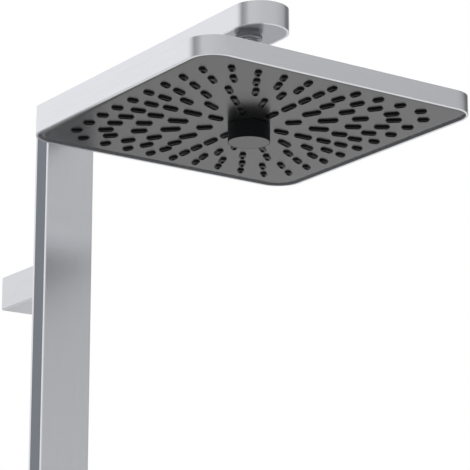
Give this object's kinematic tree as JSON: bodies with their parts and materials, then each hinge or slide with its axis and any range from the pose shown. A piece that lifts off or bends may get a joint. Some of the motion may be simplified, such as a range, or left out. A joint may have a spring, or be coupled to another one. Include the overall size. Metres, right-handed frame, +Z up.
{
  "type": "shower column with overhead spray head",
  "caption": "Flat wall-stood shower column with a round-ended arm and a large square overhead spray head on a ball joint, with a round selector knob in its face.",
  "frame": {"origin": "centre of the upper wall bracket's face on the wall", "axes": "+X to the right seen from the room, +Y into the wall, +Z up"},
  "size_m": [0.3, 0.5625, 1.0365],
  "materials": {
    "satin_metal": "satin, fine brushed, pale silver",
    "dark_anodised": "satin dark grey anodised extrusion",
    "plated_brass": "satin plated brass, silver",
    "raw_brass": "machined brass, unplated, inside only",
    "steel": "plain stainless steel",
    "seal_rubber": "black sealing rubber",
    "nozzle_silicone": "black silicone, matt",
    "spray_face_grey": "satin grey moulding",
    "black_plastic": "black moulding, satin",
    "white_plastic": "natural white low-friction plastic",
    "ceramic": "lapped ceramic, pale"
  },
  "bodies": {
    "column": {"column_profile": "dark_anodised", "column_front_cover": "satin_metal", "column_rear_cover": "satin_metal", "riser_tube": "raw_brass", "riser_clips": "white_plastic", "foot_cap": "satin_metal", "foot_inlet": "plated_brass", "foot_o_ring": "seal_rubber", "foot_screws": "steel", "inlet_filter": "white_plastic", "corner_block": "raw_brass", "corner_o_rings": "seal_rubber", "corner_screws": "steel", "arm_tray": "satin_metal", "arm_underside_plate": "satin_metal", "arm_plate_screws": "steel", "arm_rear_screws": "steel", "arm_water_tube": "raw_brass", "outlet_body": "raw_brass", "outlet_o_ring": "seal_rubber", "outlet_screws": "steel", "outlet_collar": "satin_metal", "union_nut": "plated_brass", "union_washer": "seal_rubber", "ball_stem": "plated_brass", "flow_regulator": "white_plastic", "upper_bracket": "satin_metal", "lower_bracket": "satin_metal", "upper_wall_plate": "steel", "lower_wall_plate": "steel", "bracket_column_screws": "steel", "bracket_set_screws": "steel"},
    "swivel": {"upper_ball_liner": "white_plastic"},
    "tilt": {"lower_ball_liner": "seal_rubber"},
    "head": {"socket_nut": "plated_brass", "socket_body": "plated_brass", "socket_o_ring": "seal_rubber", "socket_screws": "steel", "head_housing": "satin_metal", "water_tray": "black_plastic", "tray_screws": "steel", "nozzle_mat": "nozzle_silicone", "spray_plate": "spray_face_grey", "distributor_disc": "ceramic"},
    "selector": {"selector_knob": "black_plastic", "knob_end_disc": "spray_face_grey", "selector_spindle": "raw_brass", "selector_disc": "ceramic", "spindle_o_ring": "seal_rubber", "knob_glide_ring": "white_plastic", "knob_screw": "steel"}
  },
  "joints": [
    {"name": "head_turn", "type": "hinge", "parent": "column", "child": "swivel", "pos_m": [0, -0.4125, 0.1164], "axis": [0, 0, 1], "continuous": true},
    {"name": "head_tilt_forward", "type": "hinge", "parent": "swivel", "child": "tilt", "pos_m": [0, -0.4125, 0.1164], "axis": [1, 0, 0], "range_deg": [-12, 12]},
    {"name": "head_tilt_sideways", "type": "hinge", "parent": "tilt", "child": "head", "pos_m": [0, -0.4125, 0.1164], "axis": [0, 1, 0], "range_deg": [-12, 12]},
    {"name": "selector_turn", "type": "hinge", "parent": "head", "child": "selector", "pos_m": [0, -0.4125, 0.0737], "axis": [0, 0, 1], "range_deg": [0, 90]}
  ]
}
